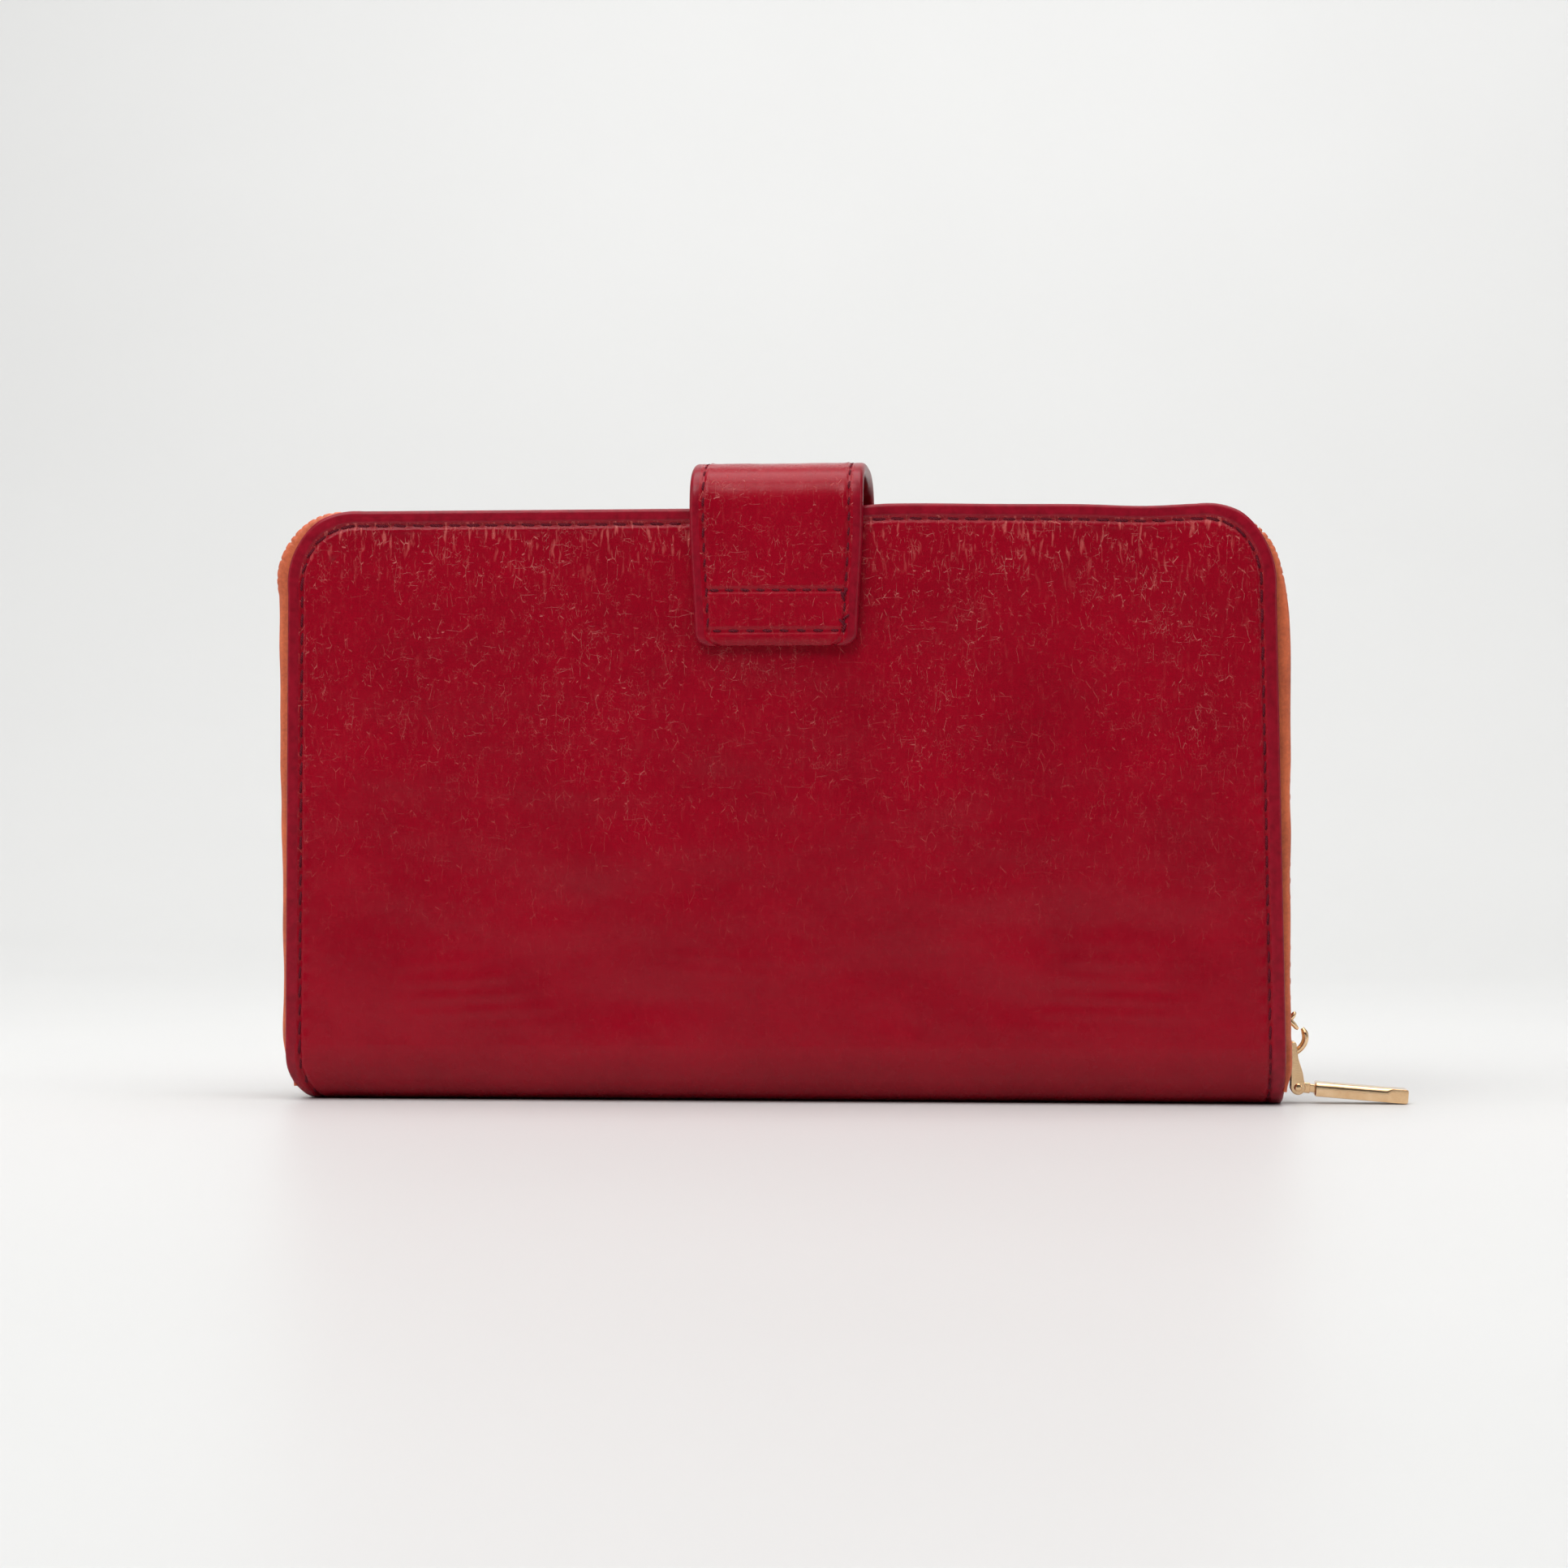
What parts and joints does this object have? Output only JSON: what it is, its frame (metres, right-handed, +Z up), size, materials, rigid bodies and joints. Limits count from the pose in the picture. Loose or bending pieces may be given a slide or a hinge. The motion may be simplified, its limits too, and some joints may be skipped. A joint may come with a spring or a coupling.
{
  "type": "phone wallet",
  "caption": "Bifold leather phone wallet standing on its rounded spine, with a zip-around pouch, card slots and a strap closure over the top edge.",
  "frame": {"origin": "centre of the flat underside of the spine", "axes": "+X along the spine towards the zip slider, -Y towards the panel with the sewn strap end, +Z up"},
  "size_m": [0.2186, 0.036, 0.1225],
  "materials": {
    "red_leather": "glossy deep red with a fine crinkle",
    "red_edge": "red leather, smooth",
    "orange_binding": "soft orange, pleated round the corners",
    "lining": "woven lining",
    "board": "grey-brown board",
    "red_thread": "waxed thread",
    "zip_tape": "woven tape",
    "zip_coil": "moulded coil",
    "pale_gold": "polished pale gold plate"
  },
  "bodies": {
    "back": {"cover_back": "red_leather", "board_back": "board", "stitching_back": "red_thread", "strap_anchor": "red_leather", "stitching_strap": "red_thread", "pouch_back_wall": "orange_binding", "binding_back": "orange_binding", "zip_tape_back": "zip_tape", "zip_chain_back": "zip_coil", "zip_stops": "pale_gold", "pouch_floor": "orange_binding", "pouch_divider": "orange_binding", "gusset_left": "orange_binding", "gusset_right": "orange_binding", "cover_spine": "red_leather", "spine_lining": "lining"},
    "leaf": {"pouch_front_wall": "orange_binding", "binding_front": "orange_binding", "zip_tape_front": "zip_tape", "zip_chain_front": "zip_coil", "card_slot_inner_1": "red_edge", "card_slot_inner_2": "red_edge", "card_slot_inner_3": "red_edge", "card_slot_inner_4": "red_edge"},
    "flap": {"cover_flap": "red_leather", "board_flap": "board", "stitching_flap": "red_thread", "flap_lining": "lining", "card_slot_flap_1": "red_edge", "card_slot_flap_2": "red_edge", "card_slot_flap_3": "red_edge", "card_slot_flap_4": "red_edge", "snap_socket": "pale_gold", "snap_post": "pale_gold"},
    "strap_bridge": {"strap_arch": "red_leather"},
    "strap_end": {"strap_tip": "red_leather", "snap_stud": "pale_gold", "snap_cap": "pale_gold"},
    "slider": {"slider_body": "pale_gold", "slider_crown": "pale_gold"},
    "link": {"pull_link": "pale_gold", "pull_pin": "pale_gold"},
    "pull": {"pull_bar": "pale_gold"}
  },
  "joints": [
    {"name": "pouch_open", "type": "hinge", "parent": "back", "child": "leaf", "pos_m": [0, 0.005, 0.0092], "axis": [-1, 0, 0], "range_deg": [0, 12], "deforming": ["cover_spine", "spine_lining", "gusset_left", "gusset_right"]},
    {"name": "flap_open", "type": "hinge", "parent": "leaf", "child": "flap", "pos_m": [0, 0.0143, 0.011], "axis": [-1, 0, 0], "range_deg": [0, 85], "deforming": ["strap_arch", "strap_tip", "snap_stud", "snap_cap"]},
    {"name": "strap_lift", "type": "hinge", "parent": "back", "child": "strap_bridge", "pos_m": [0, -0.0162, 0.1137], "axis": [1, 0, 0], "range_deg": [0, 140]},
    {"name": "strap_straighten", "type": "hinge", "parent": "strap_bridge", "child": "strap_end", "pos_m": [0, 0.0162, 0.1137], "axis": [1, 0, 0], "range_deg": [0, 84]},
    {"name": "zip_slide", "type": "slide", "parent": "back", "child": "slider", "axis": [0, 0, 1], "range_m": [0, 0.075]},
    {"name": "link_swing", "type": "hinge", "parent": "slider", "child": "link", "pos_m": [0.09875, -0.0035, 0.01127], "axis": [0, -1, 0], "range_deg": [0, 90]},
    {"name": "pull_swing", "type": "hinge", "parent": "link", "child": "pull", "pos_m": [0.0996, -0.0035, 0.0031], "axis": [0, -1, 0], "range_deg": [-95, 20]}
  ],
  "couplings": [
    {"joint": "strap_straighten", "follows": "strap_lift", "ratio": 0.6}
  ]
}
